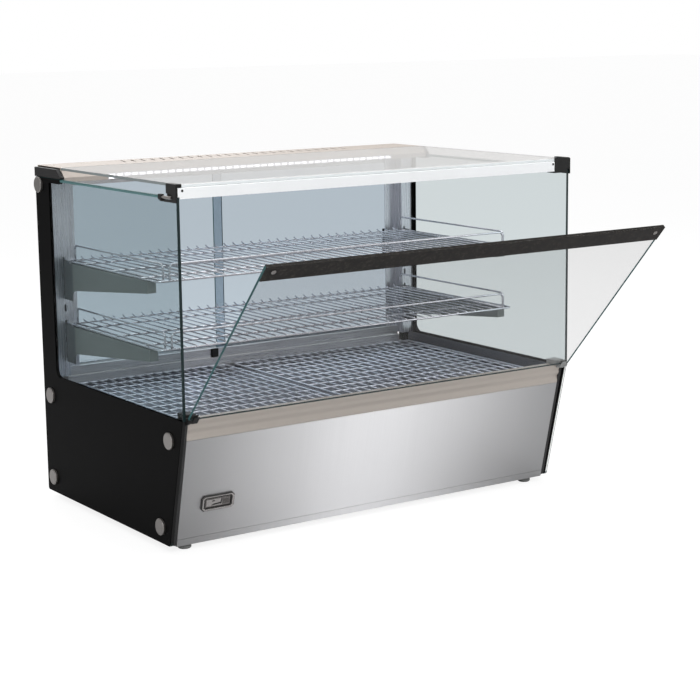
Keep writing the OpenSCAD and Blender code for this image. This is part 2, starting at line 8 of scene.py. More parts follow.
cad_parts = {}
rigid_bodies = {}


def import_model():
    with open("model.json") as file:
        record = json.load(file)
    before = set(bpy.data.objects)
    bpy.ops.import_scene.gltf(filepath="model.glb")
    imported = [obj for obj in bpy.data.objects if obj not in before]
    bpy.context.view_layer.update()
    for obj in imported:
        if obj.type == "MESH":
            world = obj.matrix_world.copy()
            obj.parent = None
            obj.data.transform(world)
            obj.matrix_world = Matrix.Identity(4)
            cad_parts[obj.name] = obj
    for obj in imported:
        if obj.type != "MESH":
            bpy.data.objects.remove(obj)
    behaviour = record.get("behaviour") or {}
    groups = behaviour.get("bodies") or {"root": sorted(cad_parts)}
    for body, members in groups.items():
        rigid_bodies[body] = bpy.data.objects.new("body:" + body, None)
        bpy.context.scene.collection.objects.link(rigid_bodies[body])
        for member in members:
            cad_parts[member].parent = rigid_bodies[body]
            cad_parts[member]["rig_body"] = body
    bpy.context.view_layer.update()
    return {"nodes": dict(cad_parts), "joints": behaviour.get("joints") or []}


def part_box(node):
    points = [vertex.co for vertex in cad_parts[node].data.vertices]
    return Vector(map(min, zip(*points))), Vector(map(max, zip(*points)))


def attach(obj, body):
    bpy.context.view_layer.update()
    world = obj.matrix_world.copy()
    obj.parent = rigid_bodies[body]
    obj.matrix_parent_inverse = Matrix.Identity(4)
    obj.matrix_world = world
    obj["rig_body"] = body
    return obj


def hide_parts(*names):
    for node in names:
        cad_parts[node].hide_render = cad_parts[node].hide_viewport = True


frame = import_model()
NODES = frame["nodes"]

MM = 0.001
LEFT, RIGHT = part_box("left_side_glass"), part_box("right_side_glass")
ORIGIN = LEFT[0]  # of the local frame: front edge and foot of the left side glass
WIDTH = (RIGHT[1].x - LEFT[0].x) / MM
HINGE = next(j for j in frame["joints"] if j["name"] == "front_door_hinge")

# Front of the base, in millimetres of the local frame: it leans in towards the foot
BASE_H = 246
FOOT_IN = 59
PANEL_BACK = 4

X_AXIS, Y_AXIS, Z_AXIS = Vector((1, 0, 0)), Vector((0, 1, 0)), Vector((0, 0, 1))
TOE = math.atan2(FOOT_IN, BASE_H)
LEANING = Vector((0, -math.cos(TOE), -math.sin(TOE)))  # out of the front panel
PANEL_UP = Vector((0, -math.sin(TOE), math.cos(TOE)))


def at(x, y, z):
    """A point of the local frame, given in millimetres."""
    return Vector((ORIGIN.x + x * MM, ORIGIN.y + y * MM, ORIGIN.z + z * MM))


def panel_y(z):
    """Face of the front panel at height z, in the local frame."""
    return PANEL_BACK + FOOT_IN * (1 - z / BASE_H)


# ---------------------------------------------------------------- materials
def new_material(name):
    mat = bpy.data.materials.new(name)
    mat.use_nodes = True
    tree = mat.node_tree
    bsdf = tree.nodes["Principled BSDF"]
    return mat, tree, bsdf


def node(tree, kind, **values):
    made = tree.nodes.new(kind)
    for key, value in values.items():
        setattr(made, key, value)
    return made


def noise_at(tree, scale, stretch=(1, 1, 1), detail=4, rough=0.6):
    coords = node(tree, "ShaderNodeTexCoord")
    mapping = node(tree, "ShaderNodeMapping")
    mapping.inputs["Scale"].default_value = stretch
    noise = node(tree, "ShaderNodeTexNoise")
    noise.inputs["Scale"].default_value = scale
    noise.inputs["Detail"].default_value = detail
    noise.inputs["Roughness"].default_value = rough
    tree.links.new(coords.outputs["Object"], mapping.inputs["Vector"])
    tree.links.new(mapping.outputs["Vector"], noise.inputs["Vector"])
    return noise.outputs["Fac"]


def ramp_of(tree, value, stops, kind="LINEAR"):
    ramp = node(tree, "ShaderNodeValToRGB")
    ramp.color_ramp.interpolation = kind
    elements = ramp.color_ramp.elements
    while len(elements) > 1:
        elements.remove(elements[-1])
    elements[0].position, elements[0].color = stops[0][0], (*stops[0][1], 1)
    for place, colour in stops[1:]:
        elements.new(place).color = (*colour, 1)
    tree.links.new(value, ramp.inputs["Fac"])
    return ramp.outputs["Color"]


def spread(tree, value, low, high):
    """Noise turned into values from low to high."""
    scaled = node(tree, "ShaderNodeMapRange")
    scaled.inputs["From Min"].default_value = 0.3
    scaled.inputs["From Max"].default_value = 0.7
    scaled.inputs["To Min"].default_value = low
    scaled.inputs["To Max"].default_value = high
    tree.links.new(value, scaled.inputs["Value"])
    return scaled.outputs["Result"]


def multiplied(tree, first, second):
    mix = node(tree, "ShaderNodeMix", data_type="RGBA", blend_type="MULTIPLY")
    mix.inputs["Factor"].default_value = 1
    tree.links.new(first, mix.inputs[6])
    tree.links.new(second, mix.inputs[7])
    return mix.outputs[2]


def along_axis(tree, axis, start, end):
    """0 to 1 over the object, from start to end along an axis."""
    coords = node(tree, "ShaderNodeTexCoord")
    split = node(tree, "ShaderNodeSeparateXYZ")
    tree.links.new(coords.outputs["Object"], split.inputs["Vector"])
    place = node(tree, "ShaderNodeMapRange")
    place.inputs["From Min"].default_value = start
    place.inputs["From Max"].default_value = end
    tree.links.new(split.outputs[axis], place.inputs["Value"])
    return place.outputs["Result"]


def either_of(tree, first, second):
    most = node(tree, "ShaderNodeMath", operation="MAXIMUM")
    tree.links.new(first, most.inputs[0])
    tree.links.new(second, most.inputs[1])
    return most.outputs["Value"]


def mixed_surface(tree, share, first, second):
    """Two shaders mixed by share, as the surface of the material."""
    mix = node(tree, "ShaderNodeMixShader")
    tree.links.new(share, mix.inputs["Fac"])
    tree.links.new(first.outputs["BSDF"], mix.inputs[1])
    tree.links.new(second.outputs["BSDF"], mix.inputs[2])
    tree.links.new(mix.outputs["Shader"], tree.nodes["Material Output"].inputs["Surface"])


def bump_from(tree, bsdf, value, strength, distance):
    bump = node(tree, "ShaderNodeBump")
    bump.inputs["Strength"].default_value = strength
    bump.inputs["Distance"].default_value = distance
    tree.links.new(value, bump.inputs["Height"])
    tree.links.new(bump.outputs["Normal"], bsdf.inputs["Normal"])


def tone(colour, factor):
    return tuple(c * factor for c in colour)


def brushed(name, colour, rough=0.32, stretch=(6, 6, 900), contrast=0.08, metallic=1.0):
    """Metal with fine brush lines; stretch says along which axes they vary."""
    mat, tree, bsdf = new_material(name)
    lines = noise_at(tree, 1.0, stretch, detail=3)
    cloud = noise_at(tree, 7.0, detail=3)
    colours = ramp_of(tree, lines, [(0.3, tone(colour, 1 - contrast)), (0.7, tone(colour, 1 + contrast))])
    stain = ramp_of(tree, cloud, [(0.3, (0.93, 0.93, 0.94)), (0.7, (1, 1, 1))])
    tree.links.new(multiplied(tree, colours, stain), bsdf.inputs["Base Color"])
    tree.links.new(spread(tree, lines, rough - 0.06, rough + 0.08), bsdf.inputs["Roughness"])
    bsdf.inputs["Metallic"].default_value = metallic
    bump_from(tree, bsdf, lines, 0.08, 0.0003)
    return mat


def coated(name, colour, rough=0.4, grain=900, bump=0.1, coat=0.0, vary=0.06, specular=0.5, metallic=0.0):
    """Paint or plastic with a fine grain."""
    mat, tree, bsdf = new_material(name)
    fine = noise_at(tree, grain, detail=2)
    cloud = noise_at(tree, 9.0, detail=4)
    tree.links.new(
        ramp_of(tree, cloud, [(0.3, tone(colour, 1 - vary)), (0.7, tone(colour, 1 + vary))]),
        bsdf.inputs["Base Color"],
    )
    tree.links.new(spread(tree, fine, rough - 0.05, rough + 0.07), bsdf.inputs["Roughness"])
    bsdf.inputs["Coat Weight"].default_value = coat
    bsdf.inputs["Specular IOR Level"].default_value = specular
    bsdf.inputs["Metallic"].default_value = metallic
    bump_from(tree, bsdf, fine, bump, 0.0004)
    return mat


def clear_glass(name, colour, ior=1.12):
    """Glass that lets lamps through, so that what it shuts in stays lit."""
    mat, tree, bsdf = new_material(name)
    bsdf.inputs["Base Color"].default_value = (*colour, 1)
    bsdf.inputs["Transmission Weight"].default_value = 1
    bsdf.inputs["IOR"].default_value = ior
    bsdf.inputs["Roughness"].default_value = 0
    lamp = node(tree, "ShaderNodeLightPath")
    open_way = node(tree, "ShaderNodeBsdfTransparent")
    open_way.inputs["Color"].default_value = (*[0.5 + c / 2 for c in colour], 1)
    passing = either_of(tree, lamp.outputs["Is Shadow Ray"], lamp.outputs["Is Diffuse Ray"])
    mixed_surface(tree, passing, bsdf, open_way)
    return mat


def steel_with_painted_highlight():
    """Front panel: brushed steel with a painted highlight, brightest in the middle."""
    mat, tree, bsdf = new_material("steel_with_painted_highlight")
    greys = [(0.0, 0.32), (0.13, 0.50), (0.29, 0.78), (0.4, 0.97), (0.5, 0.99), (0.6, 0.91),
             (0.74, 0.68), (0.88, 0.46), (1.0, 0.35)]
    # painted highlight: the base colour runs from dark grey at both sides to near white in the middle
    place = along_axis(tree, "X", LEFT[0].x, RIGHT[1].x)
    painted_highlight = ramp_of(tree, place, [(p, (g, g, g * 1.005)) for p, g in greys], "B_SPLINE")
    lines = noise_at(tree, 1.0, (700, 20, 1.2), detail=3)
    streaks = ramp_of(tree, lines, [(0.3, (0.965, 0.965, 0.965)), (0.7, (1, 1, 1))])
    tree.links.new(multiplied(tree, painted_highlight, streaks), bsdf.inputs["Base Color"])
    tree.links.new(spread(tree, lines, 0.36, 0.48), bsdf.inputs["Roughness"])
    bsdf.inputs["Metallic"].default_value = 0.85
    bump_from(tree, bsdf, lines, 0.06, 0.0003)
    return mat


def speckled(name):
    """Dark strip with a fine mottled surface."""
    mat, tree, bsdf = new_material(name)
    spots = noise_at(tree, 130, detail=7, rough=0.8)
    stops = [(0.36, (0.006, 0.005, 0.005)), (0.52, (0.015, 0.013, 0.011)), (0.64, (0.045, 0.040, 0.035))]
    tree.links.new(ramp_of(tree, spots, stops), bsdf.inputs["Base Color"])
    tree.links.new(spread(tree, spots, 0.45, 0.7), bsdf.inputs["Roughness"])
    bsdf.inputs["Specular IOR Level"].default_value = 0.15
    bump_from(tree, bsdf, spots, 0.25, 0.0005)
    return mat


def base_edge():
    """Front edge of a side glass beside the base: black film outside, pale cut edge inside."""
    mat, tree, bsdf = new_material("glass_edge_front")
    black, pale = (0.006, 0.006, 0.006), (0.85, 0.87, 0.85)
    stops = [(0.0, black), (0.9 / WIDTH, pale), (2.8 / WIDTH, black),
             (1 - 6.5 / WIDTH, pale), (1 - 2.4 / WIDTH, black)]
    place = along_axis(tree, "X", LEFT[0].x, RIGHT[1].x)
    tree.links.new(ramp_of(tree, place, stops, "CONSTANT"), bsdf.inputs["Base Color"])
    bsdf.inputs["Roughness"].default_value = 0.4
    bsdf.inputs["Specular IOR Level"].default_value = 0.2
    fine = noise_at(tree, 400, detail=2)
    bump_from(tree, bsdf, fine, 0.05, 0.0002)
    return mat


def paint_with_painted_shade(name, colour, dark, start, end, rough=0.42):
    """Paint with painted shade: it turns darker towards the rear, from start to end along Y."""
    mat, tree, bsdf = new_material(name)
    painted_shade_tones = ramp_of(tree, along_axis(tree, "Y", start, end), [(0.0, colour), (1.0, dark)])
    cloud = noise_at(tree, 9.0, detail=4)
    spots = ramp_of(tree, cloud, [(0.3, (0.92, 0.92, 0.92)), (0.7, (1, 1, 1))])
    tree.links.new(multiplied(tree, painted_shade_tones, spots), bsdf.inputs["Base Color"])
    fine = noise_at(tree, 1400, detail=2)
    tree.links.new(spread(tree, fine, rough - 0.05, rough + 0.07), bsdf.inputs["Roughness"])
    bump_from(tree, bsdf, fine, 0.12, 0.0004)
    return mat


def lamp_white(name, strength):
    """Cool white lens of a lamp that is lit."""
    mat, tree, bsdf = new_material(name)
    cool = (0.93, 0.93, 1.0)
    glow = noise_at(tree, 300, detail=1)
    tree.links.new(ramp_of(tree, glow, [(0.3, cool), (0.7, (1, 1, 1))]), bsdf.inputs["Base Color"])
    bsdf.inputs["Emission Color"].default_value = (*cool, 1)
    bsdf.inputs["Emission Strength"].default_value = strength
    bsdf.inputs["Roughness"].default_value = 0.3
    return mat


ALONG_X, ALONG_Y, ALONG_Z = (6, 900, 900), (900, 6, 900), (900, 900, 6)  # lines lie along this axis
EVEN = (60, 60, 60)
M = {
    "panel": steel_with_painted_highlight(),
    "steel_x": brushed("steel_x", (0.56, 0.565, 0.575), 0.3, ALONG_X),
    "steel_z": brushed("steel_z", (0.55, 0.57, 0.61), 0.28, ALONG_Z),
    "lip": coated("lip_aluminium", (0.44, 0.40, 0.36), 0.36, 3000, 0.0, vary=0.01, metallic=0.6),
    "rail": coated("rail_white", (0.88, 0.90, 0.91), 0.34, 1200, 0.04, vary=0.02),
    "housing": coated("housing_cream", (0.45, 0.40, 0.36), 0.5, 1100, 0.06, vary=0.03, specular=0.2),
    # painted shade: the rear of each bracket is painted darker
    "bracket": paint_with_painted_shade("bracket_grey", (0.175, 0.20, 0.195), (0.075, 0.085, 0.09),
                            at(0, 482, 0).y, at(0, 492, 0).y),
    "chrome": brushed("chrome_wire", (0.50, 0.51, 0.545), 0.2, EVEN, 0.05),
    "deck_wire": brushed("deck_wire", (0.74, 0.77, 0.85), 0.36, EVEN, 0.05),
    "nickel": brushed("satin_nickel", (0.29, 0.275, 0.26), 0.36, (500, 500, 500), 0.08),
    # painted shade: the well tray and deck plate are near-black steel, for the shade under the deck wires
    "deck_steel_painted_shade": brushed("deck_steel_painted_shade", (0.11, 0.117, 0.135), 0.4, ALONG_Y, 0.1),
    "liner_steel": brushed("liner_steel", (0.34, 0.35, 0.37), 0.35, ALONG_Z, 0.08),
    "plastic": coated("black_plastic", (0.011, 0.011, 0.011), 0.45, 1500, 0.15, vary=0.15, specular=0.2),
    "rubber": coated("black_rubber", (0.016, 0.016, 0.016), 0.6, 1200, 0.25, vary=0.15),
    "print": coated("black_print", (0.0045, 0.0045, 0.0045), 0.32, 3000, 0.0, vary=0.04, specular=0.012),
    "strip": speckled("door_strip_dark"),
    "grey": coated("grey_metal", (0.22, 0.225, 0.22), 0.4, 1200, 0.1),
    "heater": brushed("heater_steel", (0.16, 0.155, 0.15), 0.5, (300, 300, 300), 0.15),
    "display": coated("display_dark", (0.12, 0.11, 0.105), 0.25, 400, 0.03, vary=0.25),
    "marks_and_painted_shade": coated("marks_and_painted_shade", (0.012, 0.011, 0.010), 0.3, 500, 0.02),
    "bezel": brushed("bezel_metal", (0.42, 0.40, 0.385), 0.22, (300, 300, 300), 0.06),
    "red": coated("red_rocker", (0.42, 0.02, 0.012), 0.22, 600, 0.03, coat=0.4),
    "green": coated("green_rocker", (0.02, 0.28, 0.06), 0.22, 600, 0.03, coat=0.4),
    "led": lamp_white("led_light", 2.6),
    "led_base": coated("led_base", (0.75, 0.75, 0.8), 0.4, 900, 0.05),
    "glass": clear_glass("side_glass_clear", (0.64, 0.695, 0.705), 1.06),
    "door_glass": clear_glass("door_glass_clear", (0.78, 0.78, 0.78)),
    "rear_glass": clear_glass("rear_glass_clear", (0.455, 0.52, 0.575)),
    "top_glass": clear_glass("top_glass_clear", (0.95, 0.95, 0.95), 1.3),
    "edge": coated("glass_edge", (0.006, 0.017, 0.018), 0.4, 300, 0.01, vary=0.3, specular=0.25),
    "edge_teal": coated("glass_edge_teal", (0.018, 0.085, 0.088), 0.4, 300, 0.01, vary=0.3, specular=0.25),
    "edge_front": base_edge(),
    "edge_tint": coated("glass_edge_tint", (0.16, 0.30, 0.30), 0.5, 300, 0.01, vary=0.1, specular=0.1),
    "edge_pale": coated("glass_edge_pale", (0.78, 0.82, 0.83), 0.5, 300, 0.01, vary=0.03, specular=0.2),
    "edge_grey": coated("glass_edge_grey", (0.24, 0.27, 0.27), 0.5, 300, 0.01, vary=0.1, specular=0.2),
}


# ---------------------------------------------------------------- mesh helpers
def turned(share):
    """Cosine and sine of a share of a full turn."""
    angle = 2 * math.pi * share
    return math.cos(angle), math.sin(angle)


def band(first, second, sides):
    """Quads between two rings of vertices, which start at first and second."""
    return [(first + k, first + (k + 1) % sides, second + (k + 1) % sides, second + k) for k in range(sides)]


def make_piece(name, verts, faces, body, mats, replaces=(), smooth=True, indices=()):
    """A new mesh object riding on a body; indices says which material each face has."""
    mesh = bpy.data.meshes.new(name)
    mesh.from_pydata([tuple(v) for v in verts], [], faces)
    mesh.validate()
    obj = bpy.data.objects.new(name, mesh)
    bpy.context.scene.collection.objects.link(obj)
    for mat in mats:
        mesh.materials.append(mat)
    for poly, index in zip(mesh.polygons, indices):
        poly.material_index = index
    if smooth:
        mesh.shade_smooth()
    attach(obj, body)
    if replaces:
        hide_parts(*replaces)
    return obj


class Wires:
    """Round wires along paths, gathered in one mesh."""

    def __init__(self):
        self.verts, self.faces = [], []

    def add(self, path, radius, closed=False, sides=10):
        points = [Vector(p) for p in path]
        count = len(points)
        rings = []
        side = None
        for i in range(count):
            if closed:
                before, after = points[i - 1], points[(i + 1) % count]
            else:
                before, after = points[max(i - 1, 0)], points[min(i + 1, count - 1)]
            tangent = (after - before).normalized()
            side = side or tangent.orthogonal().normalized()
            side = (side - tangent * side.dot(tangent)).normalized()
            rings.append((points[i], side, tangent.cross(side), radius, tangent))
        if not closed:  # the ends are a little rounded
            cap, small = radius * 0.35, radius * 0.7
            p, a, b, _, t = rings[0]
            rings[:1] = [(p, a, b, small, t), (p + t * cap, a, b, radius, t)]
            p, a, b, _, t = rings[-1]
            rings[-1:] = [(p - t * cap, a, b, radius, t), (p, a, b, small, t)]
        base = len(self.verts)
        for p, a, b, r, _ in rings:
            for k in range(sides):
                cosine, sine = turned(k / sides)
                self.verts.append(p + a * (r * cosine) + b * (r * sine))
        last = base + (len(rings) - 1) * sides
        for first in range(base, last, sides):
            self.faces += band(first, first + sides, sides)
        if closed:  # match the last ring to the first
            shift = min(range(sides), key=lambda k: (self.verts[last + k] - self.verts[base]).length)
            for k in range(sides):
                k2 = (k + 1) % sides
                self.faces.append((last + (k + shift) % sides, last + (k2 + shift) % sides,
                                   base + k2, base + k))
        else:
            self.faces.append(tuple(base + k for k in reversed(range(sides))))
            self.faces.append(tuple(last + k for k in range(sides)))

    def piece(self, name, body, mat, replaced):
        make_piece(name, self.verts, self.faces, body, [mat], [replaced])


def arc_points(centre, u, v, radius, start, end, steps=6):
    points = []
    for i in range(steps + 1):
        a = math.radians(start + (end - start) * i / steps)
        points.append(Vector(centre) + u * (radius * math.cos(a)) + v * (radius * math.sin(a)))
    return points


def rounded_loop(x0, x1, y0, y1, z, r, steps):
    """Closed path round a rectangle with round corners."""
    path = []
    corners = ((x1 - r, y1 - r), (x0 + r, y1 - r), (x0 + r, y0 + r), (x1 - r, y0 + r))
    for i, (x, y) in enumerate(corners):
        path += arc_points((x, y, z), X_AXIS, Y_AXIS, r, i * 90, i * 90 + 90, steps)
    return path


def round_corner(work, radius):
    """Rounds the upper corner on the +X side through everything, by flat cuts round it."""
    middle = Vector((max(v.co.x for v in work.verts) - radius, 0, max(v.co.z for v in work.verts) - radius))
    for angle in (15, 30, 45, 60, 75):
        out = Vector((math.cos(math.radians(angle)), 0, math.sin(math.radians(angle))))
        cut = bmesh.ops.bisect_plane(work, geom=work.verts[:] + work.edges[:] + work.faces[:],
                                     plane_co=middle + out * radius, plane_no=out, clear_outer=True)
        rim = [e for e in cut["geom_cut"] if isinstance(e, bmesh.types.BMEdge)]
        bmesh.ops.edgenet_fill(work, edges=rim)


def refine(name, mat, width=0.0006, segments=2, extra=(), pick=None, bevel=True, corner=0):
    """A copy of a CAD node with softened edges; extra materials go where pick says."""
    source = NODES[name]
    mesh = source.data.copy()
    mesh.materials.clear()
    obj = bpy.data.objects.new("fine_" + name, mesh)
    bpy.context.scene.collection.objects.link(obj)
    work = bmesh.new()
    work.from_mesh(mesh)
    bmesh.ops.remove_doubles(work, verts=work.verts, dist=2e-6)
    bmesh.ops.dissolve_limit(work, angle_limit=math.radians(0.6), verts=work.verts, edges=work.edges)
    if corner:
        round_corner(work, corner)
    sharp = math.radians(28)
    for edge in work.edges:
        edge.smooth = len(edge.link_faces) == 2 and edge.calc_face_angle(0) < sharp
    for face in work.faces:
        face.smooth = True
    work.to_mesh(mesh)
    work.free()
    for each in (mat, *extra):
        mesh.materials.append(each)
    if pick:
        for poly in mesh.polygons:
            poly.material_index = pick(poly)
    if bevel:
        soft = obj.modifiers.new("soft", "BEVEL")
        soft.width = width
        soft.segments = segments
        soft.limit_method = "ANGLE"
        soft.angle_limit = sharp
        soft.harden_normals = True
        soft.use_clamp_overlap = True
    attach(obj, source["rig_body"])
    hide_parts(name)
    return obj


def paint(mat, *names):
    for name in names:
        data = NODES[name].data
        data.materials.clear()
        data.materials.append(mat)


# ---------------------------------------------------------------- sheet metal, plastics
for name, mat, width in [
    ("front_panel", "panel", 0.0005), ("base_pan", "panel", 0.0004),
    ("rear_sill", "steel_x", 0.0004), ("rear_top_track", "steel_x", 0.0004),
    ("front_top_rail", "rail", 0.0005), ("top_housing", "housing", 0.0004),
    ("left_end_cap", "plastic", 0.0012), ("right_end_cap", "plastic", 0.0012),
    ("left_corner_clip", "plastic", 0.0005),
    ("left_hinge_block", "plastic", 0.0006), ("right_hinge_block", "grey", 0.0006),
    ("upper_left_bracket", "bracket", 0.0004), ("upper_right_bracket", "bracket", 0.0004),
    ("lower_left_bracket", "bracket", 0.0004), ("lower_right_bracket", "bracket", 0.0004),
    ("left_post", "steel_z", 0.0003), ("right_post", "steel_z", 0.0003),
    ("door_strip", "strip", 0.0004), ("sill_guide", "plastic", 0.0008),
    ("left_rear_handle", "plastic", 0.001), ("right_rear_handle", "plastic", 0.0008),
    ("switch_bodies", "plastic", 0.0005), ("mains_inlet", "plastic", 0.0005), ("feet", "grey", 0.0005),
    ("left_standoffs", "nickel", 0.0005), ("right_standoffs", "nickel", 0.0005),
    ("power_rocker", "red", 0.0005), ("light_rocker", "green", 0.0005), ("edge_seals", "rubber", 0.0008),
    ("rear_panel", "steel_x", 0.0003), ("clip_barrels", "nickel", 0.0005),
]:
    refine(name, M[mat], width)
refine("door_shoes", M["plastic"], 0.0005, 2, [M["grey"]], lambda poly: 1 if poly.center.x > 0 else 0)
refine("right_corner_clip", M["plastic"], 0.0003, 1, corner=0.008)
paint(M["liner_steel"], "side_liners")
paint(M["deck_steel_painted_shade"], "well_tray", "deck_plate")
paint(M["heater"], "heater_elements", "terminal_box", "thermostat_body")
PRINT_OUT = 0.00705  # from behind the glass to a little outside it, where the print takes the light
for side, out in (("left", -PRINT_OUT), ("right", PRINT_OUT)):
    sheet = refine(side + "_glass_print", M["print"], bevel=False)
    verts = [vertex.co + Vector((out, 0, 0)) for vertex in sheet.data.vertices]
    faces = [tuple(poly.vertices) for poly in sheet.data.polygons]
    make_piece(side + "_print_face", verts, faces, "case", [M["print"]], smooth=False)


# ---------------------------------------------------------------- glass
def edge_picker(axis, *others):
    """0 on the two big faces, whose normals lie along axis, 2, 3... on edges facing others, else 1."""
    def pick(poly):
        if abs(poly.normal.dot(axis)) > 0.9:
            return 0
        for i, other in enumerate(others):
            if poly.normal.dot(other) > 0.985:
                return 2 + i
        return 1
    return pick


for name in ("left_side_glass", "right_side_glass"):
    refine(name, M["glass"], 0.0006, 1, [M["edge"], M["edge_teal"], M["edge_front"]],
           edge_picker(X_AXIS, Z_AXIS, LEANING))
refine("top_glass", M["top_glass"], 0.0005, 1, [M["edge_grey"], M["edge_pale"]],
       edge_picker(Z_AXIS, -Y_AXIS))
for name in ("left_rear_door", "right_rear_door"):
    refine(name, M["rear_glass"], 0.0005, 1, [M["edge_teal"]], edge_picker(Y_AXIS))
pivot = Vector(HINGE["pos_m"])
door_lo, door_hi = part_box("door_glass")
lean = math.atan2(pivot.y - door_lo.y, door_hi.z - pivot.z)  # of the open door, from upright
door_normal = Vector((0, math.cos(lean), math.sin(lean)))
door_up = Vector((0, -math.sin(lean), math.cos(lean)))
refine("door_glass", M["door_glass"], 0.0005, 1, [M["edge_teal"], M["strip"], M["edge"]],
       edge_picker(door_normal, door_up, -door_up))


# ---------------------------------------------------------------- shelves
PITCH = 0.022  # of the long wires


def shelf(level):
    """Shelf grid with upturned rear ends, and the guard wires round its front and sides."""
    body = level + "_shelf"
    lo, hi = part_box(level + "_shelf_grid")
    rail_lo, rail_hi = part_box(level + "_shelf_rails")
    rod, thin = 0.002, 0.0015
    middle = lo.z + rod
    front, rear = lo.y + 0.003, hi.y - 0.003
    x0, x1 = lo.x + 0.001, hi.x - 0.001
    grid = Wires()
    grid.add(rounded_loop(x0, x1, front, rear, middle, 0.012, 5), rod, closed=True)
    for share in (0.18, 0.5, 0.83):
        y = front + (rear - front) * share
        grid.add([(x0, y, middle), (x1, y, middle)], rod)
    inner = rail_lo.x + rod
    for x in (inner, -inner):
        grid.add([(x, front, middle), (x, rear, middle)], rod)
    gaps = 35
    top = middle + rod + thin - 0.0006
    for i in range(gaps + 1):
        x = (i - gaps / 2) * PITCH
        path = [(x, front - 0.0015, top - 0.0012), (x, front + 0.004, top), (x, rear - 0.010, top),
                (x, rear - 0.003, top + 0.0012), (x, rear + 0.0028, top + 0.0042)]
        grid.add(path, thin, sides=8)
    grid.piece(level + "_shelf_wires", body, M["chrome"], level + "_shelf_grid")
    guard = Wires()
    foot, rise = middle + 0.001, rail_hi.z - rod
    bend, set_in = 0.009, 0.009
    y0, y1 = rail_lo.y + rod, rail_hi.y - rod

    def u_wire(start, end):
        start, end = Vector(start), Vector(end)
        along = (end - start).normalized()
        lift = Z_AXIS * (rise - foot - bend)
        path = [start]
        path += arc_points(start + along * bend + lift, -along, Z_AXIS, bend, 0, 90)
        path += arc_points(end - along * bend + lift, Z_AXIS, along, bend, 0, 90)
        path.append(end)
        guard.add(path, rod)

    for x in (inner, -inner):
        u_wire((x, y0 + set_in, foot), (x, y1, foot))
    u_wire((inner + set_in, y0, foot), (-inner - set_in, y0, foot))
    guard.piece(level + "_guard_wires", body, M["chrome"], level + "_shelf_rails")


def deck(side):
    """Deck grid: a frame wire, cross wires at its level and long wires over them."""
    lo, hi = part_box(side + "_deck_grid")
    edge, cross, long = 0.0018, 0.0017, 0.0015
    x0, x1, y0, y1 = lo.x + edge, hi.x - edge, lo.y + edge, hi.y - edge
    seam = 0.0085  # the frame wire stays back from the seam, which looks dark
    if side == "left":
        x1 -= seam
    else:
        x0 += seam
    wires = Wires()
    wires.add(rounded_loop(x0, x1, y0, y1, lo.z + edge, 0.005, 4), edge, closed=True)
    z_low, z_top = lo.z + cross, hi.z - 0.0014
    past = 0.001
    gaps = round((x1 - x0) / PITCH)
    for i in range(1, gaps):
        x = x0 + (x1 - x0) * i / gaps
        wires.add([(x, y0 - past, z_top), (x, y1 + past, z_top)], long, sides=8)
    rows = 12
    for i in range(1, rows):
        y = y0 + (y1 - y0) * i / rows
        wires.add([(x0 - past, y, z_low), (x1 + past, y, z_low)], cross, sides=8)
    wires.piece(side + "_deck_wires", side + "_deck", M["deck_wire"], side + "_deck_grid")


for level in ("upper", "lower"):
    shelf(level)
for side in ("left", "right"):
    deck(side)


# ---------------------------------------------------------------- front lip, louvre shade sheet
def sweep_x(name, outline, x0, x1, mat, replaces=()):
    """Closed y-z outline drawn out along X, smooth where it curves."""
    n = len(outline)
    verts = [(x, y, z) for x in (x0, x1) for y, z in outline]
    faces = band(0, n, n) + [tuple(reversed(range(n))), tuple(range(n, 2 * n))]
    obj = make_piece(name, verts, faces, "case", [mat], replaces)
    work = bmesh.new()
    work.from_mesh(obj.data)
    bmesh.ops.recalc_face_normals(work, faces=work.faces)
    for edge in work.edges:
        edge.smooth = edge.calc_face_angle(0) < math.radians(35)
    work.to_mesh(obj.data)
    work.free()


def lip():
    """Front lip: a moulded face, given as height and depth behind the panel's plane, and a lipped top."""
    lo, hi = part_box("front_lip")
    steps = [(206.2, 0.4), (209, 0.4), (211.5, 0.7), (214, 1.5), (216.5, 2.5), (219, 3.0),
             (221.5, 2.8), (224, 1.8), (226, 0.8), (228, 0.3), (230, 0.5), (232, 1.1),
             (234, 1.5), (236, 1.3), (238, 0.7), (240, 0.2), (243, 0.1), (245.3, 0.5),
             (246.5, 1.2), (247.0, 2.4)]
    thick = 4
    front = [(panel_y(z) + into, z) for z, into in steps]
    inner = [(29, 247.0), (29, 242), (27.5, 242), (27.5, 245), (9, 245), (9, 243)]
    inner += [(panel_y(z) + thick, z) for z in (238, 206.2)]
    outline = [(at(0, y, 0).y, at(0, 0, z).z) for y, z in front + inner]
    sweep_x("moulded_lip", outline, lo.x, hi.x, M["lip"], ["front_lip"])


def edge_tint(side):
    """Green seen through the upper edge of a side glass."""
    lo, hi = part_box(side + "_side_glass")
    y0, y1, z0, z1 = lo.y + 0.060, hi.y - 0.006, hi.z - 0.0048, hi.z - 0.0008
    inset = 0.0006
    outline = [(y0, z0), (y0, z1), (y1, z1), (y1, z0)]
    sweep_x(side + "_side_edge_tint", outline, lo.x + inset, hi.x - inset, M["edge_tint"])


